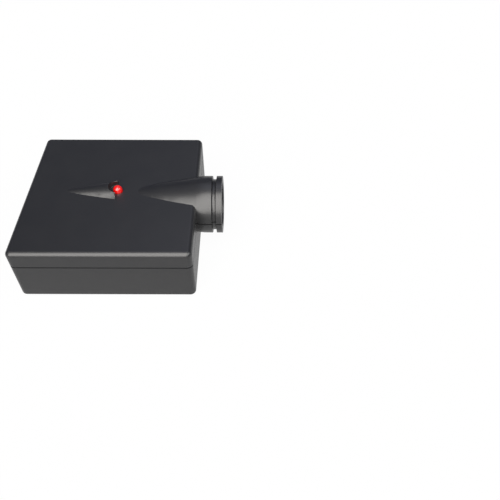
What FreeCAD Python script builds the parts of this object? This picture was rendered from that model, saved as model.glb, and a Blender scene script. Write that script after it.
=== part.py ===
import FreeCAD, Part
import math
import os

# Garage door safety sensor: a square moulded housing with a short barrel that looks along +X.
# Millimetres, +Z up. The origin is the centre of the flat underside.

V = FreeCAD.Vector
X = V(1, 0, 0)
Z = V(0, 0, 1)

# Housing
body_length = 54.0
body_width = 54.0
body_height = 19.2
cover_height = 5.85      # top face down to the parting line, which is also the barrel's axis
wall = 1.8
roof = 1.8
floor = 2.0
corner_radius = 1.7      # upright corners
top_radius = 1.5
foot_radius = 1.0
inner_corner = 0.8
least_round = 0.1        # what a rounded edge leaves of the corner it runs into

# Parting line: an open shadow line outside, a tongue and a rebate inside
seam_gap = 0.35
seam_depth = 0.7
tongue_thickness = 0.7
tongue_height = 1.2
tongue_clearance = 0.1

# Barrel, from the housing's end wall outwards
barrel_radius = 9.15
barrel_wall = 2.15
neck_length = 4.66
groove_width = 1.38      # takes the edge of a sheet metal bracket
groove_depth = 1.05
groove_round = 0.45      # inner corners of the groove
rim_width = 1.81
mouth_ease = 0.2         # how far the bore flares at its open end
mouth_depth = 0.4
fairing_length = 18.85   # from the end wall back to where the cone sinks into the top face
fairing_run_out = 4.0    # how far the cone goes on below the top face
fairing_reach = 1.5      # from the end wall out to where the cone meets the barrel
fairing_bend = 1.5       # how far the bend from cone to barrel reaches to either side

# Lens, held in a groove between the halves of the barrel
lens_radius = 7.8
lens_clearance = 0.1
lens_setback = 2.2       # end wall to the back of the lens
lens_rim = 1.4
lens_crown = 2.3
crown_clearance = 0.2

# Lamp, and the hump that runs up to it
lamp_setback = 25.15     # outer face of the end wall to the lamp's axis
lamp_radius = 1.45
lamp_flange_radius = 1.9
lamp_flange = 1.0
lamp_length = 5.3
lamp_rise = 1.85         # top of the lamp above the top face
lamp_clearance = 0.1
hump_length = 15.8       # from where it leaves the top face to its open end
hump_radius = 4.25
hump_sink = 1.57         # its axis below the top face
hump_gap = 0.3           # its open end to the lamp's axis
hump_run_out = 2.0
pocket_radius = 2.7
pocket_wall = 1.6

# Housing screws, driven from the underside
screw_inset = 4.7        # outer wall to the screw's axis
boss_radius = 3.2
cover_boss_radius = 2.7
screw_radius = 1.25
screw_clearance = 0.2
head_radius = 2.3
head_height = 1.7
head_seat = 5.0          # underside to the face that the head bears on
head_clearance = 0.3
screw_tip_gap = 0.4
recess_width = 0.6
recess_depth = 0.9

# Wire inlet, in the end wall opposite the barrel
inlet_radius = 2.5
inlet_chamfer = 0.4

# Circuit board
board_thickness = 1.6
post_height = 2.4
post_radius = 2.2
post_inset = 3.5         # board edge to the post's axis
board_rear_gap = 1.7
board_front_gap = 3.7
board_side_gap = 8.2
peg_radius = 1.0
peg_rise = 0.6
peg_clearance = 0.1
board_screw_radius = 1.0
board_screw_head = 2.0
board_screw_head_height = 1.3
board_screw_bite = 0.7   # how far its tip goes into the floor
lead_side = 0.5
lead_tail = 1.1          # what stands below the board
lead_hole = 0.45
lead_pitch = 2.54
solder_land = 0.15       # how far the solder reaches past the hole's edge
solder_height = 0.8

# Infrared emitter on the barrel's axis, and its holder
emitter_ahead = 4.5      # lamp's axis to the back of the emitter
emitter_radius = 2.5
emitter_flange_radius = 2.9
emitter_flange = 1.0
emitter_length = 8.6
emitter_stub = 1.5
holder_length = 4.5
holder_wall = 1.1
holder_foot = 1.5
holder_foot_reach = 1.2
holder_clearance = 0.05
holder_peg_radius = 0.8

# Parts on the board: how far each stands from the board's rear end and from its sides
chip_length = 9.4
chip_width = 6.35
chip_height = 3.3
chip_stand = 0.5
chip_row = 3.81
chip_leg_width = 1.2
chip_leg_tail = 0.5
chip_leg_thickness = 0.25
chip_from_rear = 15.5
chip_from_side = 7.2
capacitor_radius = 3.15
capacitor_height = 7.0
capacitor_crimp = 0.35
capacitor_pitch = 2.5
capacitor_from_rear = 19.0
capacitor_from_side = 6.0
rectifier_radius = 4.4
rectifier_height = 5.3
rectifier_stand = 1.5
rectifier_chamfer = 0.2
rectifier_pitch = 5.08
rectifier_from_rear = 11.0
rectifier_from_side = 6.0
transistor_radius = 2.4
transistor_height = 4.6
transistor_stand = 2.0
transistor_flat = 1.2    # axis to the flat face
transistor_pitch = 1.27
transistor_leg = 0.4
transistor_from_rear = 29.0
transistor_from_side = 7.0
resistor_count = 3
resistor_length = 3.4
resistor_radius = 0.85
resistor_waist = 0.7
resistor_end = 0.9
resistor_pitch = 7.62
resistor_spacing = 3.0
resistor_from_rear = 27.5
resistor_from_side = 2.6
disc_count = 2
disc_radius = 2.3
disc_thickness = 1.6
disc_stand = 0.8
disc_spacing = 3.6
disc_from_rear = 33.5
disc_from_side = 7.0

# Terminal block for the two wires
pole_count = 2
pole_pitch = 5.08
terminal_depth = 8.0
terminal_height = 8.5
terminal_inset = 1.0     # board's rear end to the block
terminal_bevel = 2.0
cage_height = 4.4
cage_depth = 5.0
cage_wall = 0.5
cage_floor = 1.2         # board to the underside of the cage
cage_clearance = 0.1
pin_side = 0.8
pin_hole = 0.7
terminal_screw_radius = 1.2
terminal_head_radius = 1.7
terminal_head_height = 1.2
slot_width = 0.5
slot_depth = 0.5

# Levels and places worked out from the sizes above
end_wall = body_length / 2
side_wall = body_width / 2
seam_z = body_height - cover_height
ceiling_z = body_height - roof
axis_z = seam_z
bore_radius = barrel_radius - barrel_wall
fairing_slope = (barrel_radius - cover_height) / (fairing_length + fairing_reach)
groove_x = end_wall + neck_length
rim_x = groove_x + groove_width
barrel_end = rim_x + rim_width
lens_x = end_wall + lens_setback
lamp_x = end_wall - lamp_setback
hump_end = lamp_x - hump_gap
hump_slope = (hump_radius - hump_sink) / hump_length
hump_z = body_height - hump_sink
board_bottom = floor + post_height
board_top = board_bottom + board_thickness
board_rear = wall + board_rear_gap - end_wall
board_front = end_wall - wall - board_front_gap
board_side = side_wall - wall - board_side_gap
lead_end = board_bottom - lead_tail
emitter_x = lamp_x + emitter_ahead
cage_width = 2 * (terminal_screw_radius + cage_clearance + cage_wall)
inlet_z = board_top + cage_floor + cage_height / 2
over = 1.0               # how far a cutting shape runs past what it cuts


def block(x0, x1, y0, y1, z0, z1):
    """A box between two corners."""
    return Part.makeBox(x1 - x0, y1 - y0, z1 - z0, V(x0, y0, z0))


def rod(radius, start, length, way=Z):
    """A round bar from a point, along a direction."""
    return Part.makeCylinder(radius, length, start, way)


def turned(points, height):
    """A solid turned about a line along X at the given height, from (x, radius) points."""
    corners = [V(x, 0, height + radius) for x, radius in points]
    face = Part.Face(Part.makePolygon(corners + corners[:1]))
    return face.revolve(V(0, 0, height), X, 360)


def turned_upright(points, x, y):
    """A solid turned about an upright line, from (radius, z) points."""
    corners = [V(x + radius, y, z) for radius, z in points]
    face = Part.Face(Part.makePolygon(corners + corners[:1]))
    return face.revolve(V(x, y, 0), Z, 360)


def rounded_prism(inset, z0, z1, radius):
    """The housing's plan, drawn in by inset, as an upright prism with rounded corners."""
    x = end_wall - inset
    y = side_wall - inset
    prism = block(-x, x, -y, y, z0, z1)
    uprights = [e for e in prism.Edges if e.BoundBox.ZLength > e.BoundBox.XLength + e.BoundBox.YLength]
    return prism.makeFillet(radius, uprights)


def level_edges(shape, z):
    """The edges of a shape that lie in one level plane."""
    return [e for e in shape.Edges if e.BoundBox.ZLength < 1e-6 and abs(e.BoundBox.ZMin - z) < 1e-6]


def joined(first, others):
    """One solid from a shape and the shapes that grow out of it."""
    return first.fuse(others).removeSplitter()


def corner_places():
    """Where the four housing screws stand."""
    x = end_wall - screw_inset
    y = side_wall - screw_inset
    return [(sx * x, sy * y) for sx in (-1, 1) for sy in (-1, 1)]


def post_places():
    """Where the board's posts stand: two that take a screw, then two that carry a peg."""
    rear = board_rear + post_inset
    front = board_front - post_inset
    y = board_side - post_inset
    return [(rear, -y), (front, y)], [(rear, y), (front, -y)]


def outer_block():
    """The box of the housing with all its outer edges rounded."""
    solid = rounded_prism(0, 0, body_height, corner_radius)
    largest = corner_radius - least_round
    solid = solid.makeFillet(min(top_radius, largest), level_edges(solid, body_height))
    return solid.makeFillet(min(foot_radius, largest), level_edges(solid, 0))


def bend(before, corner, after, reach):
    """An arc that rounds the corner between two straight runs, from this far before it to this far after."""
    back = (before - corner).normalize()
    on = (after - corner).normalize()
    half = back.getAngle(on) / 2
    middle = corner + (back + on).normalize() * reach * (1 / math.cos(half) - math.tan(half))
    return Part.Arc(corner + back * reach, middle, corner + on * reach)


def rounded_face(corners):
    """A flat face with straight sides, from each corner and the reach of the bend that rounds it, if any."""
    count = len(corners)
    bends = [reach and bend(corners[i - 1][0], corner, corners[(i + 1) % count][0], reach)
             for i, (corner, reach) in enumerate(corners)]
    starts = [arc.StartPoint if arc else corner for arc, (corner, _) in zip(bends, corners)]
    ends = [arc.EndPoint if arc else corner for arc, (corner, _) in zip(bends, corners)]
    edges = []
    for i, arc in enumerate(bends):
        edges.append(Part.makeLine(ends[i - 1], starts[i]))
        if arc:
            edges.append(arc.toShape())
    return Part.Face(Part.Wire(edges))


def nose():
    """Barrel with its bracket groove and rim, and the cone that fairs it into the top face."""
    tip = end_wall - fairing_length - fairing_run_out
    groove_floor = barrel_radius - groove_depth
    face = rounded_face([(V(x, 0, axis_z + radius), reach) for x, radius, reach in (
        (end_wall + fairing_reach, barrel_radius, fairing_bend),
        (groove_x, barrel_radius, 0),
        (groove_x, groove_floor, groove_round),
        (rim_x, groove_floor, groove_round),
        (rim_x, barrel_radius, 0),
        (barrel_end, barrel_radius, 0),
        (barrel_end, 0, 0),
        (tip, 0, 0),
        (tip, cover_height - fairing_slope * fairing_run_out, 0),
    )])
    return face.revolve(V(0, 0, axis_z), X, 360)


def lamp_hump():
    """Cone that rises along the cover to the lamp, scooped out by a round pocket."""
    run = hump_length + hump_run_out
    small = hump_radius - hump_slope * run
    cone = Part.makeCone(small, hump_radius, run, V(hump_end - run, 0, hump_z), X)
    pocket = rod(pocket_radius, V(lamp_x, 0, body_height - over), hump_radius + over)
    return cone.cut(pocket)


def hump_core():
    """Hollow under the hump, which keeps its wall even."""
    core_end = lamp_x - pocket_radius - pocket_wall
    large = hump_radius - hump_slope * (hump_end - core_end) - roof
    run = large / hump_slope
    return Part.makeCone(0, large, run, V(core_end - run, 0, ceiling_z), X)


def light_path():
    """Hollow of the barrel: a cone inside the fairing, the lens groove, the bore and its flared mouth."""
    tip = end_wall - fairing_length - fairing_run_out
    seat_radius = lens_radius + lens_clearance
    past = barrel_end + over
    return turned([
        (tip, 0),
        (tip, bore_radius - fairing_slope * (end_wall - tip)),
        (end_wall, bore_radius),
        (lens_x, bore_radius),
        (lens_x, seat_radius),
        (lens_x + lens_rim, seat_radius),
        (lens_x + lens_rim, bore_radius),
        (barrel_end - mouth_depth, bore_radius),
        (barrel_end, bore_radius + mouth_ease),
        (past, bore_radius + mouth_ease),
        (past, 0),
    ], axis_z)


def housing():
    """Both shells in one, before they are parted and fitted out."""
    solid = joined(outer_block(), [nose(), lamp_hump()])
    cavity = rounded_prism(wall, floor, ceiling_z, inner_corner)
    return solid.cut([cavity, light_path(), hump_core()])


def shadow_line():
    """Thin open line round the parting plane, deep enough to read as dark."""
    land = rounded_prism(seam_depth, 0, body_height, corner_radius - seam_depth)
    neck_y = barrel_radius - seam_depth
    neck_land = block(0, groove_x - seam_depth, -neck_y, neck_y, 0, body_height)
    rim_y = neck_y - groove_depth
    rim_land = block(0, barrel_end - seam_depth, -rim_y, rim_y, 0, body_height)
    reach = barrel_end + over
    side = side_wall + over
    slab = block(-reach, reach, -side, side, seam_z - seam_gap / 2, seam_z + seam_gap / 2)
    return slab.cut([land, neck_land, rim_land])


def tongue_ring(clearance):
    """Tongue that stands on the base inside the cover's wall, left out across the barrel."""
    outside = rounded_prism(wall - tongue_thickness - clearance, seam_z - over,
                            seam_z + tongue_height + clearance, inner_corner)
    inside = rounded_prism(wall + clearance, seam_z - 2 * over,
                           seam_z + tongue_height + 2 * over, inner_corner)
    gap_y = barrel_radius + over - clearance
    across = block(0, end_wall, -gap_y, gap_y, 0, body_height)
    return outside.cut([inside, across])


def upper_shell():
    """Cover: roof, fairing, hump, upper half of the barrel, lamp hole and screw bosses."""
    reach = barrel_end + over
    above = block(-reach, reach, -reach, reach, seam_z, 2 * body_height)
    shell = housing().common(above)
    bosses = [rod(cover_boss_radius, V(x, y, seam_z), cover_height - roof / 2) for x, y in corner_places()]
    shell = joined(shell, bosses)
    pilot_top = ceiling_z - screw_tip_gap / 2
    cuts = [rod(screw_radius, V(x, y, seam_z - over), pilot_top - seam_z + over) for x, y in corner_places()]
    cuts.append(rod(lamp_radius + lamp_clearance, V(lamp_x, 0, ceiling_z - over), roof + 2 * over))
    cuts.append(tongue_ring(tongue_clearance))
    cuts.append(shadow_line())
    return shell.cut(cuts).removeSplitter()


def lower_shell():
    """Base: floor, walls, lower half of the barrel, screw bosses, board posts and wire inlet."""
    reach = barrel_end + over
    below = block(-reach, reach, -reach, reach, -over, seam_z)
    shell = housing().common(below)
    base = floor / 2
    screwed, pegged = post_places()
    grown = [rod(boss_radius, V(x, y, base), seam_z - base) for x, y in corner_places()]
    grown += [rod(post_radius, V(x, y, base), board_bottom - base) for x, y in screwed + pegged]
    grown += [rod(peg_radius, V(x, y, base), board_top + peg_rise - base) for x, y in pegged]
    grown.append(tongue_ring(0))
    shell = joined(shell, grown)
    cuts = [rod(screw_radius + screw_clearance, V(x, y, 0), seam_z + over) for x, y in corner_places()]
    cuts += [rod(head_radius + head_clearance, V(x, y, -over), head_seat + over) for x, y in corner_places()]
    pilot = floor - board_screw_bite - peg_clearance
    cuts += [rod(board_screw_radius, V(x, y, pilot), board_bottom) for x, y in screwed]
    cuts.append(wire_inlet())
    cuts.append(shadow_line())
    return shell.cut(cuts).removeSplitter()


def wire_inlet():
    """Round hole for the two wires, eased at its outer edge."""
    start = V(-end_wall - over, 0, inlet_z)
    hole = rod(inlet_radius, start, wall + 2 * over, X)
    wide = inlet_radius + inlet_chamfer + over
    ease = Part.makeCone(wide, inlet_radius, inlet_chamfer + over, start, X)
    return hole.fuse(ease)


def cross_recess(x, y, z, radius):
    """Cross-shaped driver recess, cut upwards from a head's lower face."""
    half = recess_width / 2
    bar = block(-radius, radius, -half, half, -over, recess_depth)
    cross = bar.fuse(block(-half, half, -radius, radius, -over, recess_depth))
    return cross.translated(V(x, y, z))


def housing_screws():
    """Four screws that hold the shells together, heads down in the base."""
    screws = []
    for x, y in corner_places():
        head = rod(head_radius, V(x, y, head_seat - head_height), head_height)
        head = head.makeChamfer(head_height / 3, level_edges(head, head_seat - head_height))
        shank = rod(screw_radius, V(x, y, head_seat - head_height / 2),
                    ceiling_z - screw_tip_gap - head_seat + head_height / 2)
        recess = cross_recess(x, y, head_seat - head_height, head_radius * 2 / 3)
        screws.append(joined(head, [shank]).cut(recess))
    return Part.makeCompound(screws)


def lens():
    """Plano-convex lens with a flat rim that sits in the barrel's groove."""
    front = lens_x + lens_rim
    crown = bore_radius - crown_clearance
    halfway = crown / math.sqrt(2)
    ball = (crown ** 2 + lens_crown ** 2) / (2 * lens_crown)
    rise = math.sqrt(ball ** 2 - halfway ** 2) - (ball - lens_crown)
    corners = [(lens_x, 0), (lens_x, lens_radius), (front, lens_radius), (front, crown)]
    points = [V(x, 0, axis_z + radius) for x, radius in corners]
    tip = V(front + lens_crown, 0, axis_z)
    dome = Part.Arc(points[-1], V(front + rise, 0, axis_z + halfway), tip).toShape()
    rim = Part.makePolygon(points)
    back = Part.makeLine(tip, points[0])
    face = Part.Face(Part.Wire(rim.Edges + [dome, back]))
    return face.revolve(V(0, 0, axis_z), X, 360)


def circuit_board():
    """Board on the base's posts, with a hole for every lead, peg and screw."""
    board = block(board_rear, board_front, -board_side, board_side, board_bottom, board_top)
    start = board_bottom - over
    deep = board_thickness + 2 * over
    screwed, pegged = post_places()
    drilled = [(lead_hole, x, y) for x, y in lead_places()] + [(pin_hole, x, y) for x, y in pin_places()]
    holes = [Part.Face(eight_sided(r, x, y, start)).extrude(Z * deep) for r, x, y in drilled]
    holes += [rod(board_screw_radius + peg_clearance, V(x, y, start), deep) for x, y in screwed]
    holes += [rod(peg_radius + peg_clearance, V(x, y, start), deep) for x, y in pegged]
    holes += [rod(holder_peg_radius, V(x, y, start), deep) for x, y in holder_pegs()]
    return board.cut(holes)


def board_screws():
    """Two screws that hold the board on its posts."""
    screws = []
    tip = floor - board_screw_bite
    for x, y in post_places()[0]:
        head = rod(board_screw_head, V(x, y, board_top), board_screw_head_height)
        top = board_top + board_screw_head_height
        head = head.makeChamfer(board_screw_head_height / 3, level_edges(head, top))
        shank = rod(board_screw_radius, V(x, y, tip), board_top - tip + board_screw_head_height / 2)
        half = recess_width / 2
        reach = board_screw_head * 2 / 3
        cross = [block(x - reach, x + reach, y - half, y + half, top - recess_depth, top + over),
                 block(x - half, x + half, y - reach, y + reach, top - recess_depth, top + over)]
        screws.append(joined(head, [shank]).cut(cross))
    return Part.makeCompound(screws)


def square_lead(x, y, top):
    """Straight lead of square section, from a part down through the board."""
    half = lead_side / 2
    return block(x - half, x + half, y - half, y + half, lead_end, top)


def bent_lead(x, y, z, turn_x):
    """Lead of square section that leaves a part level, turns down and goes through the board."""
    half = lead_side / 2
    level = block(min(x, turn_x), max(x, turn_x), y - half, y + half, z - half, z + half)
    return joined(level, [square_lead(turn_x, y, z + half)])


def eight_sided(radius, x, y, z):
    """Level eight-sided ring round a lead, with its flats along X and Y."""
    reach = radius / math.cos(math.pi / 8)
    turns = [math.pi * (2 * i + 1) / 8 for i in range(8)]
    corners = [V(x + reach * math.cos(t), y + reach * math.sin(t), z) for t in turns]
    return Part.makePolygon(corners + corners[:1])


def pair(x, y, pitch):
    """Two lead places in a row along Y."""
    return [(x, y - pitch / 2), (x, y + pitch / 2)]


def emitter_places():
    return pair(emitter_x - emitter_stub, 0, lead_pitch)


def infrared_emitter():
    """Round clear-cased emitter with a flange and a domed front, on the barrel's axis."""
    body = rod(emitter_radius, V(emitter_x, 0, axis_z), emitter_length - emitter_radius, X)
    flange = rod(emitter_flange_radius, V(emitter_x, 0, axis_z), emitter_flange, X)
    dome = Part.makeSphere(emitter_radius, V(emitter_x + emitter_length - emitter_radius, 0, axis_z))
    return joined(body, [flange, dome])


def emitter_leads():
    leads = [bent_lead(emitter_x, y, axis_z, x) for x, y in emitter_places()]
    return Part.makeCompound(leads)


def holder_pegs():
    """Where the emitter's holder plugs into the board."""
    x = emitter_x + emitter_flange + holder_length / 2
    y = emitter_radius + holder_wall + holder_foot_reach - holder_peg_radius
    return [(x, -y), (x, y)]


def emitter_holder():
    """Upright with a round top that the emitter is pushed through from behind, on a foot."""
    x0 = emitter_x + emitter_flange
    x1 = x0 + holder_length
    side = emitter_radius + holder_wall
    foot_side = side + holder_foot_reach
    left = V(x0, -side, axis_z)
    right = V(x0, side, axis_z)
    arch = Part.Arc(left, V(x0, 0, axis_z + side), right).toShape()
    legs = Part.makePolygon([right, V(x0, side, board_top), V(x0, -side, board_top), left])
    upright = Part.Face(Part.Wire([arch] + legs.Edges)).extrude(X * holder_length)
    foot = block(x0, x1, -foot_side, foot_side, board_top, board_top + holder_foot)
    pegs = [rod(holder_peg_radius, V(x, y, board_bottom), board_thickness + holder_foot / 2)
            for x, y in holder_pegs()]
    bore = rod(emitter_radius + holder_clearance, V(x0 - over, 0, axis_z), holder_length + 2 * over, X)
    return joined(upright, [foot] + pegs).cut(bore)


def lamp_base():
    return body_height + lamp_rise - lamp_length


def lamp_places():
    return pair(lamp_x, 0, lead_pitch)


def indicator_lamp():
    """Small domed lamp that stands in the cover's hole."""
    base = lamp_base()
    body = rod(lamp_radius, V(lamp_x, 0, base), lamp_length - lamp_radius)
    flange = rod(lamp_flange_radius, V(lamp_x, 0, base), lamp_flange)
    dome = Part.makeSphere(lamp_radius, V(lamp_x, 0, base + lamp_length - lamp_radius))
    return joined(body, [flange, dome])


def indicator_leads():
    return Part.makeCompound([square_lead(x, y, lamp_base()) for x, y in lamp_places()])


def lamp_spacer():
    """Sleeve that holds the lamp at the height of the cover, with a slot for its leads."""
    base = lamp_base()
    sleeve = rod(lamp_flange_radius, V(lamp_x, 0, board_top), base - board_top)
    half = lead_side / 2 + holder_clearance
    reach = lead_pitch / 2 + half
    slot = block(lamp_x - half, lamp_x + half, -reach, reach, board_top - over, base + over)
    return sleeve.cut(slot)


def chip_centre():
    return board_rear + chip_from_rear, chip_from_side - board_side


def chip_places():
    """Eight legs in two rows."""
    x, y = chip_centre()
    steps = [(i - 1.5) * lead_pitch for i in range(4)]
    return [(x + step, y + side * chip_row) for side in (-1, 1) for step in steps]


def control_chip():
    """Moulded chip with a notch at one end of its top."""
    x, y = chip_centre()
    z0 = board_top + chip_stand
    z1 = z0 + chip_height
    body = block(x - chip_length / 2, x + chip_length / 2, y - chip_width / 2, y + chip_width / 2, z0, z1)
    notch_radius = chip_width / 8
    notch = rod(notch_radius, V(x - chip_length / 2, y, z1 - notch_radius), notch_radius + over)
    return body.cut(notch)


def chip_legs():
    """Legs that leave the chip's sides, turn down and narrow where they enter the board."""
    x, y = chip_centre()
    middle = board_top + chip_stand + chip_height / 2
    half = chip_leg_width / 2
    tail = chip_leg_tail / 2
    legs = []
    for leg_x, leg_y in chip_places():
        side = 1 if leg_y > y else -1
        outer = leg_y + side * chip_leg_thickness / 2
        inner = outer - side * chip_leg_thickness
        body_face = y + side * chip_width / 2
        arm = block(leg_x - half, leg_x + half, min(body_face, outer), max(body_face, outer),
                    middle - chip_leg_thickness, middle)
        drop = block(leg_x - half, leg_x + half, min(inner, outer), max(inner, outer), board_top, middle)
        end = block(leg_x - tail, leg_x + tail, min(inner, outer), max(inner, outer), lead_end, middle)
        legs.append(joined(arm, [drop, end]))
    return Part.makeCompound(legs)


def capacitor_centre():
    return board_rear + capacitor_from_rear, board_side - capacitor_from_side


def capacitor_places():
    x, y = capacitor_centre()
    return pair(x, y, capacitor_pitch)


def storage_capacitor():
    """Upright can with a rolled crimp near its foot and a shallow dished top."""
    x, y = capacitor_centre()
    z = board_top
    r = capacitor_radius
    top = z + capacitor_height
    return turned_upright([
        (0, z),
        (r - capacitor_crimp, z),
        (r, z + capacitor_crimp),
        (r, z + 3 * capacitor_crimp),
        (r - capacitor_crimp, z + 4 * capacitor_crimp),
        (r, z + 5 * capacitor_crimp),
        (r, top - capacitor_crimp),
        (r - capacitor_crimp, top),
        (r - 2 * capacitor_crimp, top - capacitor_crimp),
        (0, top - capacitor_crimp),
    ], x, y)


def capacitor_leads():
    return Part.makeCompound([square_lead(x, y, board_top) for x, y in capacitor_places()])


def rectifier_centre():
    return board_rear + rectifier_from_rear, board_side - rectifier_from_side


def rectifier_places():
    """Four leads on the corners of a square."""
    x, y = rectifier_centre()
    step = rectifier_pitch / 2
    return [(x + sx * step, y + sy * step) for sx in (-1, 1) for sy in (-1, 1)]


def bridge_rectifier():
    """Round moulded rectifier that stands off the board on its four leads."""
    x, y = rectifier_centre()
    top = board_top + rectifier_stand + rectifier_height
    body = rod(rectifier_radius, V(x, y, board_top + rectifier_stand), rectifier_height)
    return body.makeChamfer(rectifier_chamfer, level_edges(body, top))


def rectifier_leads():
    top = board_top + rectifier_stand
    return Part.makeCompound([square_lead(x, y, top) for x, y in rectifier_places()])


def transistor_centre():
    return board_rear + transistor_from_rear, transistor_from_side - board_side


def transistor_places():
    x, y = transistor_centre()
    return [(x, y + (i - 1) * transistor_pitch) for i in range(3)]


def drive_transistor():
    """Half-round moulded body with one flat face."""
    x, y = transistor_centre()
    z = board_top + transistor_stand
    body = rod(transistor_radius, V(x, y, z), transistor_height)
    beyond = block(x + transistor_flat, x + 2 * transistor_radius, y - 2 * transistor_radius,
                   y + 2 * transistor_radius, z - over, z + transistor_height + over)
    return body.cut(beyond)


def transistor_legs():
    half = transistor_leg / 2
    top = board_top + transistor_stand
    legs = [block(x - half, x + half, y - half, y + half, lead_end, top) for x, y in transistor_places()]
    return Part.makeCompound(legs)


def resistor_rows():
    """Middle of each resistor, side by side across the board."""
    x = board_rear + resistor_from_rear
    outermost = board_side - resistor_from_side
    return [(x, outermost - i * resistor_spacing) for i in range(resistor_count)]


def resistor_places():
    half = resistor_pitch / 2
    return [(x + side * half, y) for x, y in resistor_rows() for side in (-1, 1)]


def resistors():
    """Bodies with a thicker cap at each end, lying on the board."""
    half = resistor_length / 2
    neck = half - resistor_end
    slope = resistor_radius - resistor_waist
    bodies = []
    for x, y in resistor_rows():
        profile = [(-half, 0), (-half, resistor_waist), (-half + slope, resistor_radius),
                   (-neck, resistor_radius), (-neck + slope, resistor_waist),
                   (neck - slope, resistor_waist), (neck, resistor_radius),
                   (half - slope, resistor_radius), (half, resistor_waist), (half, 0)]
        body = turned(profile, board_top + resistor_radius)
        bodies.append(body.translated(V(x, y, 0)))
    return Part.makeCompound(bodies)


def resistor_leads():
    half = resistor_length / 2
    height = board_top + resistor_radius
    leads = []
    for x, y in resistor_rows():
        for side in (-1, 1):
            leads.append(bent_lead(x + side * half, y, height, x + side * resistor_pitch / 2))
    return Part.makeCompound(leads)


def disc_rows():
    x = board_rear + disc_from_rear
    y = disc_from_side - board_side
    return [(x + i * disc_spacing, y) for i in range(disc_count)]


def disc_places():
    return [place for x, y in disc_rows() for place in pair(x, y, lead_pitch)]


def ceramic_capacitors():
    """Small dipped discs that stand on edge."""
    height = board_top + disc_stand + disc_radius
    half = disc_thickness / 2
    edge = half / 2
    profile = [(-half, 0), (-half, disc_radius - edge), (-edge, disc_radius), (edge, disc_radius),
               (half, disc_radius - edge), (half, 0)]
    discs = [turned(profile, height).translated(V(x, y, 0)) for x, y in disc_rows()]
    return Part.makeCompound(discs)


def ceramic_leads():
    """Leads that run up to the discs' rims and end on them."""
    middle = board_top + disc_stand + disc_radius
    leads = [square_lead(x, y, middle) for x, y in disc_places()]
    return Part.makeCompound(leads).cut(ceramic_capacitors())


def terminal_rear():
    return board_rear + terminal_inset


def pole_rows():
    """Middle of each pole, across the block."""
    return [(i - (pole_count - 1) / 2) * pole_pitch for i in range(pole_count)]


def cage_centre():
    return terminal_rear() + cage_depth / 2


def pin_places():
    return [(cage_centre(), y) for y in pole_rows()]


def terminal_block():
    """Insulating block with a wire hole at the rear and a screw well on top for each pole."""
    x0 = terminal_rear()
    x1 = x0 + terminal_depth
    side = pole_count * pole_pitch / 2
    top = board_top + terminal_height
    body = block(x0, x1, -side, side, board_top, top)
    upper_front = [e for e in level_edges(body, top) if e.BoundBox.XMin > x1 - over]
    body = body.makeChamfer(terminal_bevel, upper_front)
    half = cage_width / 2 + cage_clearance
    low = board_top + cage_floor
    high = low + cage_height + cage_clearance
    pin_half = pin_side / 2
    cuts = []
    for y in pole_rows():
        cuts.append(block(x0 - over, x0 + cage_depth, y - half, y + half, low, high))
        cuts.append(rod(terminal_head_radius + cage_clearance, V(cage_centre(), y, low + cage_height),
                        terminal_height))
        cuts.append(block(cage_centre() - pin_half, cage_centre() + pin_half, y - pin_half, y + pin_half,
                          board_top - over, low + over))
    return body.cut(cuts)


def terminal_cages():
    """Metal cages that take the wires, each with a pin down through the board."""
    x0 = terminal_rear()
    half = cage_width / 2
    low = board_top + cage_floor
    high = low + cage_height
    pin_half = pin_side / 2
    cages = []
    for y in pole_rows():
        cage = block(x0 + cage_wall, x0 + cage_depth, y - half, y + half, low, high)
        inner = block(x0, x0 + cage_depth + over, y - half + cage_wall, y + half - cage_wall,
                      low + cage_wall, high - cage_wall)
        pin = block(cage_centre() - pin_half, cage_centre() + pin_half, y - pin_half, y + pin_half,
                    lead_end, low + cage_wall / 2)
        hole = rod(terminal_screw_radius, V(cage_centre(), y, high - cage_wall - over), cage_wall + 2 * over)
        cages.append(joined(cage.cut([inner, hole]), [pin]))
    return Part.makeCompound(cages)


def terminal_screws():
    """Clamping screws with slotted heads, one for each pole."""
    seat = board_top + cage_floor + cage_height
    top = seat + terminal_head_height
    reach = cage_height / 2
    screws = []
    for y in pole_rows():
        x = cage_centre()
        head = rod(terminal_head_radius, V(x, y, seat), terminal_head_height)
        shank = rod(terminal_screw_radius, V(x, y, seat - reach), reach + terminal_head_height / 2)
        half = slot_width / 2
        wide = 2 * terminal_head_radius
        slot = block(x - wide, x + wide, y - half, y + half, top - slot_depth, top + over)
        screws.append(joined(head, [shank]).cut(slot))
    return Part.makeCompound(screws)


def lead_places():
    """Every place where a lead passes through the board, the terminal pins apart."""
    return (emitter_places() + lamp_places() + chip_places() + capacitor_places() + rectifier_places()
            + transistor_places() + resistor_places() + disc_places())


def solder_joints():
    """A small cone of solder round each lead, on the board's underside."""
    leads = [emitter_leads(), indicator_leads(), chip_legs(), capacitor_leads(), rectifier_leads(),
             transistor_legs(), resistor_leads(), ceramic_leads(), terminal_cages()]
    pieces = [solid for group in leads for solid in group.Solids]
    tip = board_bottom - solder_height
    spots = [(lead_hole, x, y) for x, y in lead_places()] + [(pin_hole, x, y) for x, y in pin_places()]
    joints = []
    for hole, x, y in spots:
        ends = [eight_sided(hole, x, y, tip), eight_sided(hole + solder_land, x, y, board_bottom)]
        cone = Part.makeLoft(ends, True)
        near = [p for p in pieces if p.BoundBox.intersect(cone.BoundBox)]
        joints.append(cone.cut(near))
    return Part.makeCompound(joints)


PIECES = [
    upper_shell, lower_shell, housing_screws, lens, circuit_board, board_screws, infrared_emitter,
    emitter_leads, emitter_holder, indicator_lamp, indicator_leads, lamp_spacer, control_chip, chip_legs,
    storage_capacitor, capacitor_leads, bridge_rectifier, rectifier_leads, drive_transistor,
    transistor_legs, resistors, resistor_leads, ceramic_capacitors, ceramic_leads, terminal_block,
    terminal_cages, terminal_screws, solder_joints,
]

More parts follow.
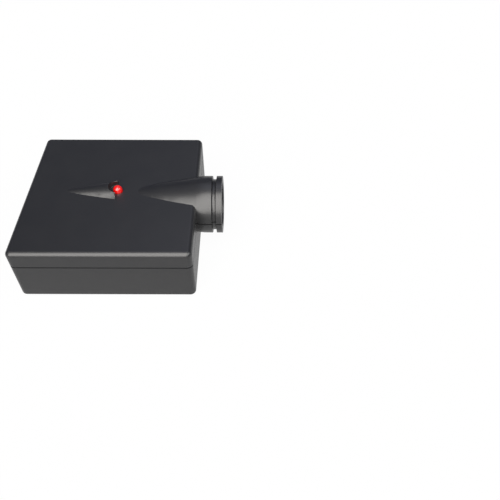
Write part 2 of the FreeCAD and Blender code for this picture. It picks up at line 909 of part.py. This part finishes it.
os.makedirs("parts", exist_ok=True)
for piece in PIECES:
    shape = piece()
    if not shape.isValid():
        raise ValueError("the shape of " + piece.__name__ + " is not valid")
    shape.exportStep("parts/" + piece.__name__ + ".step")
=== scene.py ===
"""Finishes, floor, light and camera for the garage door safety sensor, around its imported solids."""

import math

import bpy
from mathutils import Matrix, Vector


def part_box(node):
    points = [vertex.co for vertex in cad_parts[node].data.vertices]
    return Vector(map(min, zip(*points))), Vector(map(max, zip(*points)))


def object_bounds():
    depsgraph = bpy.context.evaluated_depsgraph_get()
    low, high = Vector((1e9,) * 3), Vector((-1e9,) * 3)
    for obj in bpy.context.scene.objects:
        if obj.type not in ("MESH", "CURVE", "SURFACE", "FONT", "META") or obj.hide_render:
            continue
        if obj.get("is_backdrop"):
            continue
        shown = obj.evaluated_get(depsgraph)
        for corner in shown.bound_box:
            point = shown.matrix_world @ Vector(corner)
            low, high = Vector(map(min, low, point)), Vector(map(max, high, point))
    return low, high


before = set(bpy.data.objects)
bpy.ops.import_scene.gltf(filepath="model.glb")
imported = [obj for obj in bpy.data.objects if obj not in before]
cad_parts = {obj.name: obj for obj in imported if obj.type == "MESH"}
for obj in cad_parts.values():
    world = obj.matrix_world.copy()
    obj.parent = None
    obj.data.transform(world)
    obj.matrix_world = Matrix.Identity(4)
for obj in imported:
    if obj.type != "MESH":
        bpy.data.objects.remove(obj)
cad_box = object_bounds()

# Units: the frame is in metres, textures are laid out in millimetres.
MM = 0.001
PER_METRE = 1000.0

# Camera: place, tilt and lens fitted to the outline of the housing.
CAMERA_PLACE = Vector((43.71, -133.55, 141.81)) * MM
CAMERA_TILT = math.radians(41.533)
CAMERA_ROLL = math.radians(0.169)
SENSOR_WIDTH = 36.0
FOCAL_LENGTH = 40.995

# Lens: the radius that its front is ground to.
LENS_BALL = 11.2 * MM

# Light: soft boxes in a dim blue room. They light the top at about 1, so colours show as written.
# Angles are in degrees. A box aims at an azimuth, which runs from the front, -Y, to +X, and an elevation.
# It is turned about its aim, and has half its size across and up, and a soft edge.
SOFT_BOXES = (
    {"aim": (-10.7, 47.5), "turn": -23.0, "half": (26.0, 40.5), "soft": 9.0, "colour": (3.57, 3.48, 3.36)},
    {"aim": (52.0, 42.0), "turn": 8.0, "half": (35.0, 13.0), "soft": 6.0, "colour": (2.4, 2.4, 2.37)},
    {"aim": (168.0, 62.0), "turn": 0.0, "half": (16.0, 16.0), "soft": 16.0, "colour": (0.56, 0.59, 0.71)},
)
ROOM_COLOUR = (0.061, 0.067, 0.092)
WHITE = (1.0, 1.0, 1.0)

# Floor: sizes are in metres. It glows white, but dimmer where a gloss mirrors it.
# Out to MATT_FAR a share of it is matt and takes the part's shadow.
FLOOR_SIZE = 8.0
FLOOR_DROP = 0.02 * MM
FLOOR_COLOUR = (0.9, 0.9, 0.9)
MATT_NEAR = 0.12
MATT_FAR = 0.5
GLOW_SHARE = 0.96
GLOW_IN_GLOSS = 0.44


def link_or_set(tree, socket, value):
    """Links a socket to another one, or sets it to a plain value. A colour comes without its alpha."""
    if isinstance(value, bpy.types.NodeSocket):
        tree.links.new(value, socket)
    elif socket.type == "RGBA":
        socket.default_value = (*value, 1.0)
    else:
        socket.default_value = value


def add_node(tree, kind, inputs=None, **settings):
    """A new node with its settings and the inputs that are named or numbered."""
    node = tree.nodes.new(kind)
    for name, value in settings.items():
        setattr(node, name, value)
    for name, value in (inputs or {}).items():
        link_or_set(tree, node.inputs[name], value)
    return node


def math_node(tree, operation, *values):
    """The result of an operation on one or two values."""
    node = add_node(tree, "ShaderNodeMath", dict(enumerate(values)), operation=operation)
    return node.outputs["Value"]


def along(tree, way, axis):
    """How far a direction points along an axis."""
    node = add_node(tree, "ShaderNodeVectorMath", {0: way, 1: axis}, operation="DOT_PRODUCT")
    return node.outputs["Value"]


def between(tree, value, start, stop, low=0.0, high=1.0, smooth=False):
    """Low where the value is at start, high where it is at stop, and held outside."""
    kind = "SMOOTHSTEP" if smooth else "LINEAR"
    names = ("Value", "From Min", "From Max", "To Min", "To Max")
    inputs = dict(zip(names, (value, start, stop, low, high)))
    return add_node(tree, "ShaderNodeMapRange", inputs, interpolation_type=kind).outputs["Result"]


def mixed(tree, factor, first, second, kind="RGBA"):
    """A colour, or another kind of value, from first to second by the factor."""
    node = add_node(tree, "ShaderNodeMix", data_type=kind)
    used = [socket for socket in node.inputs if socket.enabled]
    for socket, value in zip(used, (factor, first, second)):
        link_or_set(tree, socket, value)
    return next(socket for socket in node.outputs if socket.enabled)


class Finish:
    """A procedural surface, laid out in the frame's own coordinates in millimetres."""

    def __init__(self, name):
        self.material = bpy.data.materials.new(name)
        self.material.use_nodes = True
        self.tree = self.material.node_tree
        self.shader = self.tree.nodes["Principled BSDF"]
        own = self.add("ShaderNodeTexCoord").outputs["Object"]
        scale = (PER_METRE, PER_METRE, PER_METRE)
        self.place = self.add("ShaderNodeMapping", {"Vector": own, "Scale": scale}).outputs["Vector"]

    def add(self, kind, inputs=None, **settings):
        """A new node of this finish."""
        return add_node(self.tree, kind, inputs, **settings)

    def surface(self, inputs):
        """Sets or links the sockets of the shader."""
        for name, value in inputs.items():
            link_or_set(self.tree, self.shader.inputs[name], value)
        return self.material

    def noise(self, size, detail=2.0, place=None):
        """Cloudy noise with features of about this size."""
        inputs = {"Vector": place or self.place, "Scale": 1.0 / size, "Detail": detail}
        return self.add("ShaderNodeTexNoise", inputs).outputs["Fac"]

    def stretched(self, scale):
        """The texture space, squeezed along each axis by these factors."""
        return self.add("ShaderNodeMapping", {"Vector": self.place, "Scale": scale}).outputs["Vector"]

    def about(self, centre):
        """The texture space, measured from a point of the frame in metres."""
        offset = tuple(-PER_METRE * value for value in centre)
        return self.add("ShaderNodeMapping", {"Vector": self.place, "Location": offset}).outputs["Vector"]

    def axis(self, place, name):
        """One coordinate of a place."""
        return self.add("ShaderNodeSeparateXYZ", {"Vector": place}).outputs[name]

    def length(self, place):
        """How far a place is from where it is measured."""
        return self.add("ShaderNodeVectorMath", {0: place}, operation="LENGTH").outputs["Value"]

    def mix(self, factor, first, second, kind="RGBA"):
        """A colour, or another kind of value, from first to second by the factor."""
        return mixed(self.tree, factor, first, second, kind)

    def between(self, value, start, stop, low=0.0, high=1.0, smooth=False):
        """Low where the value is at start, high where it is at stop, and held outside."""
        return between(self.tree, value, start, stop, low, high, smooth)

    def rounded(self, radius):
        """The normal, as if every sharp edge had this radius."""
        return self.add("ShaderNodeBevel", {"Radius": radius * MM}, samples=8).outputs["Normal"]

    def relief(self, height, depth, normal=None):
        """The normal over a relief of this depth."""
        inputs = {"Height": height, "Distance": depth * MM}
        if normal:
            inputs["Normal"] = normal
        return self.add("ShaderNodeBump", inputs).outputs["Normal"]


def grey(value, blue=1.0):
    """A grey of this level, with so many times the blue."""
    return (value, value, value * blue)


def eased_rim(finish):
    """1 at the rim of the lamp's pocket, on the side that is eased, and 0 further off."""
    reach = 4.0
    fade = 1.0
    low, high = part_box("indicator_lamp")
    from_lamp = finish.about(((low.x + high.x) / 2, (low.y + high.y) / 2, high.z))
    near = finish.between(finish.length(from_lamp), reach + fade, reach)
    side = finish.between(finish.axis(from_lamp, "Y"), -fade, 0.0)
    return math_node(finish.tree, "MULTIPLY", near, side)


def moulded_plastic():
    """Satin black moulding with the fine grain of its tool, a faint cloudiness and a polished skin."""
    finish = Finish("moulded_plastic")
    cloud = finish.between(finish.noise(7.0, 3.0), 0.3, 0.7)
    grain = finish.noise(0.18, 2.0)
    own = finish.add("ShaderNodeNewGeometry").outputs["Normal"]
    eased = finish.mix(eased_rim(finish), own, finish.rounded(0.4), kind="VECTOR")
    normal = finish.relief(grain, 0.0015, eased)
    return finish.surface({
        "Base Color": finish.mix(cloud, grey(0.0117, blue=1.13), grey(0.0137, blue=1.09)),
        "Roughness": finish.between(cloud, 0.0, 1.0, 0.49, 0.52),
        "IOR": 1.54,
        "Coat Weight": 1.0,
        "Coat IOR": 1.6,
        "Coat Roughness": 0.25,
        "Normal": normal,
        "Coat Normal": normal,
    })


def smoked_lens():
    """Dark red acrylic that passes infrared, deeper towards its rim, with a front that is part of a ball."""
    finish = Finish("smoked_lens")
    low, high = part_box("lens")
    place = finish.about((low + high) / 2)
    radius = PER_METRE * (high.y - low.y) / 2
    core = 0.2 * radius
    ball = finish.about((high.x - LENS_BALL, (low.y + high.y) / 2, (low.z + high.z) / 2))
    outward = finish.add("ShaderNodeVectorMath", {0: ball}, operation="NORMALIZE").outputs["Vector"]
    flat = finish.add("ShaderNodeVectorMath", {0: place, 1: (0.0, 1.0, 1.0)}, operation="MULTIPLY")
    rim = finish.between(finish.length(flat.outputs["Vector"]), core, radius, smooth=True)
    haze = finish.between(finish.noise(2.5, 3.0), 0.35, 0.7)
    normal = finish.relief(finish.noise(3.0, 1.0), 0.004, outward)
    return finish.surface({
        "Base Color": finish.mix(rim, (0.075, 0.006, 0.009), (0.02, 0.002, 0.004)),
        "Roughness": finish.between(haze, 0.0, 1.0, 0.04, 0.09),
        "IOR": 1.49,
        "Coat Weight": 0.5,
        "Coat Roughness": 0.03,
        "Normal": normal,
        "Coat Normal": normal,
    })


def lit_lamp():
    """Red epoxy, glowing most where its die lies under the dome."""
    finish = Finish("lit_lamp")
    top = PER_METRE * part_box("indicator_lamp")[1].z
    die_depth = 1.6
    glow = finish.between(finish.axis(finish.place, "Z"), top - die_depth, top, smooth=True)
    cloud = finish.noise(0.8, 2.0)
    return finish.surface({
        "Base Color": finish.mix(cloud, (0.56, 0.002, 0.0015), (0.66, 0.003, 0.002)),
        "Roughness": finish.between(cloud, 0.3, 0.7, 0.2, 0.25),
        "IOR": 1.55,
        "Coat Weight": 1.0,
        "Coat Roughness": 0.16,
        "Coat IOR": 1.9,
        "Emission Color": finish.mix(glow, (1.0, 0.002, 0.001), (1.0, 0.012, 0.01)),
        "Emission Strength": finish.between(glow, 0.0, 1.0, 0.32, 0.46),
    })


def tinted_epoxy():
    """Blue-black epoxy of an infrared emitter."""
    finish = Finish("tinted_epoxy")
    cloud = finish.noise(1.6, 3.0)
    return finish.surface({
        "Base Color": finish.mix(cloud, (0.008, 0.006, 0.02), (0.02, 0.014, 0.05)),
        "Roughness": finish.between(cloud, 0.3, 0.7, 0.06, 0.14),
        "IOR": 1.55,
        "Normal": finish.relief(finish.noise(0.9, 1.0), 0.004),
    })


def plated_steel():
    """Zinc-plated steel with a soft crystal bloom and fine drawn marks."""
    finish = Finish("plated_steel")
    bloom = finish.noise(0.6, 4.0)
    drawn = finish.noise(0.3, 2.0, finish.stretched((6.0, 6.0, 0.8)))
    return finish.surface({
        "Base Color": finish.mix(bloom, (0.5, 0.51, 0.53), (0.68, 0.69, 0.7)),
        "Metallic": 1.0,
        "Roughness": finish.between(bloom, 0.3, 0.75, 0.24, 0.42),
        "Normal": finish.relief(drawn, 0.006, finish.rounded(0.08)),
    })


def laminate():
    """Green solder mask over copper tracks and a glass weave."""
    finish = Finish("laminate")
    tracks = finish.add("ShaderNodeTexBrick", {
        "Vector": finish.place, "Scale": 1.0, "Brick Width": 6.5, "Row Height": 2.54, "Mortar Size": 0.3,
    })
    copper = tracks.outputs["Fac"]
    weave = finish.add("ShaderNodeTexChecker", {"Vector": finish.place, "Scale": 1.6}).outputs["Fac"]
    cloud = finish.noise(3.0, 3.0)
    mask = finish.mix(cloud, (0.006, 0.075, 0.03), (0.01, 0.11, 0.045))
    return finish.surface({
        "Base Color": finish.mix(copper, mask, (0.035, 0.2, 0.07)),
        "Roughness": finish.between(cloud, 0.3, 0.7, 0.22, 0.34),
        "IOR": 1.5,
        "Normal": finish.relief(math_node(finish.tree, "ADD", copper, weave), 0.012),
    })


def tinned_wire():
    """Bright tin with a dull bloom."""
    finish = Finish("tinned_wire")
    bloom = finish.noise(0.5, 4.0)
    return finish.surface({
        "Base Color": finish.mix(bloom, (0.5, 0.5, 0.49), (0.72, 0.72, 0.7)),
        "Metallic": 1.0,
        "Roughness": finish.between(bloom, 0.3, 0.7, 0.2, 0.45),
        "Normal": finish.relief(bloom, 0.008),
    })


def black_resin():
    """Matt moulding compound with a sandy grain."""
    finish = Finish("black_resin")
    grain = finish.noise(0.12, 3.0)
    cloud = finish.noise(2.0, 2.0)
    return finish.surface({
        "Base Color": finish.mix(cloud, grey(0.012), grey(0.02)),
        "Roughness": finish.between(grain, 0.3, 0.7, 0.5, 0.68),
        "IOR": 1.5,
        "Normal": finish.relief(grain, 0.01),
    })


def natural_nylon():
    """Milky unpigmented nylon."""
    finish = Finish("natural_nylon")
    cloud = finish.noise(1.4, 3.0)
    return finish.surface({
        "Base Color": finish.mix(cloud, (0.58, 0.56, 0.48), (0.7, 0.68, 0.6)),
        "Roughness": finish.between(cloud, 0.3, 0.7, 0.36, 0.5),
        "IOR": 1.53,
        "Normal": finish.relief(finish.noise(0.25, 2.0), 0.006),
    })


def sleeved_can():
    """Dark blue shrink sleeve with a pale stripe, and the bare aluminium of the can's top."""
    finish = Finish("sleeved_can")
    low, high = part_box("storage_capacitor")
    place = finish.about((low + high) / 2)
    radius = PER_METRE * (high.x - low.x) / 2
    stripe = finish.between(finish.axis(place, "X"), 0.72 * radius, 0.76 * radius)
    lid_depth = 0.1
    lid_edge = PER_METRE * (high.z - low.z) / 2 - lid_depth
    blur = 0.02
    lid = finish.between(finish.axis(place, "Z"), lid_edge - blur, lid_edge + blur)
    cloud = finish.noise(1.2, 3.0)
    sleeve = finish.mix(cloud, (0.008, 0.014, 0.05), (0.014, 0.022, 0.075))
    dressed = finish.mix(stripe, sleeve, (0.45, 0.47, 0.5))
    return finish.surface({
        "Base Color": finish.mix(lid, dressed, (0.7, 0.7, 0.71)),
        "Metallic": lid,
        "Roughness": finish.between(cloud, 0.3, 0.7, 0.24, 0.36),
        "Normal": finish.relief(cloud, 0.02),
    })


def banded_lacquer():
    """Beige lacquer with four plain colour bands along the resistor."""
    finish = Finish("banded_lacquer")
    low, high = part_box("resistors")
    lengthwise = finish.axis(finish.about((low + high) / 2), "X")
    half = PER_METRE * (high.x - low.x) / 2
    cloud = finish.noise(0.7, 3.0)
    colour = finish.mix(cloud, (0.46, 0.34, 0.2), (0.56, 0.43, 0.27))
    # A band has a place, as a share of half the length, and a paint.
    bands = (
        (-0.62, (0.11, 0.035, 0.012)),
        (-0.24, grey(0.008)),
        (0.1, (0.42, 0.02, 0.012)),
        (0.6, (0.42, 0.26, 0.06)),
    )
    width = 0.2 * half
    for share, paint in bands:
        offset = math_node(finish.tree, "SUBTRACT", lengthwise, share * half)
        away = math_node(finish.tree, "ABSOLUTE", offset)
        colour = finish.mix(finish.between(away, width / 2, 0.4 * width), colour, paint)
    return finish.surface({
        "Base Color": colour,
        "Roughness": finish.between(cloud, 0.3, 0.7, 0.25, 0.4),
        "IOR": 1.5,
        "Normal": finish.relief(cloud, 0.02),
    })


def dipped_ceramic():
    """Tan dip coat with the slow waviness of its drips."""
    finish = Finish("dipped_ceramic")
    drip = finish.noise(1.8, 2.0)
    return finish.surface({
        "Base Color": finish.mix(drip, (0.4, 0.13, 0.03), (0.55, 0.2, 0.05)),
        "Roughness": finish.between(drip, 0.3, 0.7, 0.3, 0.45),
        "IOR": 1.5,
        "Normal": finish.relief(drip, 0.06),
    })


def terminal_nylon():
    """Green moulded nylon."""
    finish = Finish("terminal_nylon")
    cloud = finish.noise(2.2, 3.0)
    return finish.surface({
        "Base Color": finish.mix(cloud, (0.012, 0.13, 0.05), (0.02, 0.18, 0.075)),
        "Roughness": finish.between(cloud, 0.3, 0.7, 0.36, 0.48),
        "IOR": 1.53,
        "Normal": finish.relief(finish.noise(0.2, 2.0), 0.006, finish.rounded(0.1)),
    })


def plated_brass():
    """Nickel-plated brass, yellow where the plating is thin."""
    finish = Finish("plated_brass")
    thin = finish.between(finish.noise(0.9, 3.0), 0.45, 0.75)
    return finish.surface({
        "Base Color": finish.mix(thin, (0.62, 0.58, 0.5), (0.66, 0.5, 0.24)),
        "Metallic": 1.0,
        "Roughness": finish.between(thin, 0.0, 1.0, 0.25, 0.38),
        "Normal": finish.relief(finish.noise(0.2, 2.0), 0.006),
    })


FINISHES = {
    "housing_plastic": moulded_plastic,
    "lens_plastic": smoked_lens,
    "lamp_red": lit_lamp,
    "emitter_case": tinted_epoxy,
    "screw_steel": plated_steel,
    "board_laminate": laminate,
    "tinned_wire": tinned_wire,
    "black_resin": black_resin,
    "spacer_nylon": natural_nylon,
    "capacitor_sleeve": sleeved_can,
    "resistor_lacquer": banded_lacquer,
    "ceramic_dip": dipped_ceramic,
    "terminal_nylon": terminal_nylon,
    "terminal_brass": plated_brass,
}


def dress_nodes():
    """Gives every solid the finish of its material slot."""
    made = {slot: finish() for slot, finish in FINISHES.items()}
    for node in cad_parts.values():
        for holder in node.material_slots:
            holder.material = made[holder.material.name]


def seen_directly(tree):
    """1 for rays from the camera, off a gloss or through glass, 0 for those that light the part."""
    path = add_node(tree, "ShaderNodeLightPath").outputs
    mirrored = math_node(tree, "MAXIMUM", path["Is Glossy Ray"], path["Is Transmission Ray"])
    return math_node(tree, "MAXIMUM", path["Is Camera Ray"], mirrored)


def floor_material():
    """White glow with a share of matt near the part. From below it is clear."""
    material = bpy.data.materials.new("floor")
    material.use_nodes = True
    tree = material.node_tree
    tree.nodes.remove(tree.nodes["Principled BSDF"])
    matt = add_node(tree, "ShaderNodeBsdfDiffuse", {"Color": FLOOR_COLOUR}).outputs["BSDF"]
    mirrored = add_node(tree, "ShaderNodeLightPath").outputs["Is Glossy Ray"]
    strength = between(tree, mirrored, 0.0, 1.0, 1.0, GLOW_IN_GLOSS)
    glow = add_node(tree, "ShaderNodeEmission", {"Color": WHITE, "Strength": strength}).outputs["Emission"]
    place = add_node(tree, "ShaderNodeTexCoord").outputs["Object"]
    reach = add_node(tree, "ShaderNodeVectorMath", {0: place}, operation="LENGTH").outputs["Value"]
    share = between(tree, reach, MATT_NEAR, MATT_FAR, GLOW_SHARE, 1.0, smooth=True)
    glowing = math_node(tree, "MULTIPLY", share, seen_directly(tree))
    top = add_node(tree, "ShaderNodeMixShader", {0: glowing, 1: matt, 2: glow}).outputs["Shader"]
    clear = add_node(tree, "ShaderNodeBsdfTransparent").outputs["BSDF"]
    below = add_node(tree, "ShaderNodeNewGeometry").outputs["Backfacing"]
    whole = add_node(tree, "ShaderNodeMixShader", {0: below, 1: top, 2: clear}).outputs["Shader"]
    tree.links.new(whole, tree.nodes["Material Output"].inputs["Surface"])
    return material


def make_floor():
    """A pale floor that reads as white and keeps the part's shadow."""
    half = FLOOR_SIZE / 2
    signs = ((-1, -1), (1, -1), (1, 1), (-1, 1))
    corners = [(across * half, deep * half, -FLOOR_DROP) for across, deep in signs]
    mesh = bpy.data.meshes.new("floor")
    mesh.from_pydata(corners, [], [(0, 1, 2, 3)])
    mesh.materials.append(floor_material())
    floor = bpy.data.objects.new("floor", mesh)
    bpy.context.scene.collection.objects.link(floor)
    floor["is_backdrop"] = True


def soft_box(tree, way, aim, turn, half, soft):
    """1 for the directions inside a soft-edged rectangle about the aim, 0 for those outside."""
    azimuth, elevation = (math.radians(angle) for angle in aim)
    level = math.cos(elevation)
    forward = Vector((math.sin(azimuth) * level, -math.cos(azimuth) * level, math.sin(elevation)))
    across = Vector((math.cos(azimuth), math.sin(azimuth), 0.0))
    upward = forward.cross(across)
    swing = math.radians(turn)
    axes = (math.cos(swing) * across + math.sin(swing) * upward,
            math.cos(swing) * upward - math.sin(swing) * across)
    ahead = along(tree, way, forward)
    shares = []
    for axis, reach in zip(axes, half):
        away = math_node(tree, "ARCTAN2", math_node(tree, "ABSOLUTE", along(tree, way, axis)), ahead)
        outer = math.radians(reach + soft)
        inner = math.radians(reach - soft)
        shares.append(between(tree, away, outer, inner, smooth=True))
    return math_node(tree, "MULTIPLY", *shares)


def make_world():
    """The soft boxes and the room, with white for the camera's own rays."""
    world = bpy.data.worlds.new("surroundings")
    bpy.context.scene.world = world
    world.use_nodes = True
    tree = world.node_tree
    way = add_node(tree, "ShaderNodeTexCoord").outputs["Generated"]
    light = ROOM_COLOUR
    for box in SOFT_BOXES:
        inside = soft_box(tree, way, box["aim"], box["turn"], box["half"], box["soft"])
        light = mixed(tree, inside, light, box["colour"])
    path = add_node(tree, "ShaderNodeLightPath").outputs
    seen = math_node(tree, "MAXIMUM", path["Is Camera Ray"], path["Is Transmission Ray"])
    tree.links.new(mixed(tree, seen, light, WHITE), tree.nodes["Background"].inputs["Color"])


def make_camera():
    """The camera at the fitted place, looking along +Y and down."""
    data = bpy.data.cameras.new("camera")
    data.sensor_width = SENSOR_WIDTH
    data.lens = FOCAL_LENGTH
    data.clip_start = MM
    camera = bpy.data.objects.new("camera", data)
    turn = Matrix.Rotation(CAMERA_TILT, 4, "X") @ Matrix.Rotation(CAMERA_ROLL, 4, "Z")
    camera.matrix_world = Matrix.Translation(CAMERA_PLACE) @ turn
    bpy.context.scene.collection.objects.link(camera)
    bpy.context.scene.camera = camera


dress_nodes()
make_floor()
make_world()
make_camera()
bpy.context.scene.view_settings.view_transform = "Standard"

boxes = {"cad": cad_box, "visual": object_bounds()}
{name: [list(corner) for corner in box] for name, box in boxes.items()}
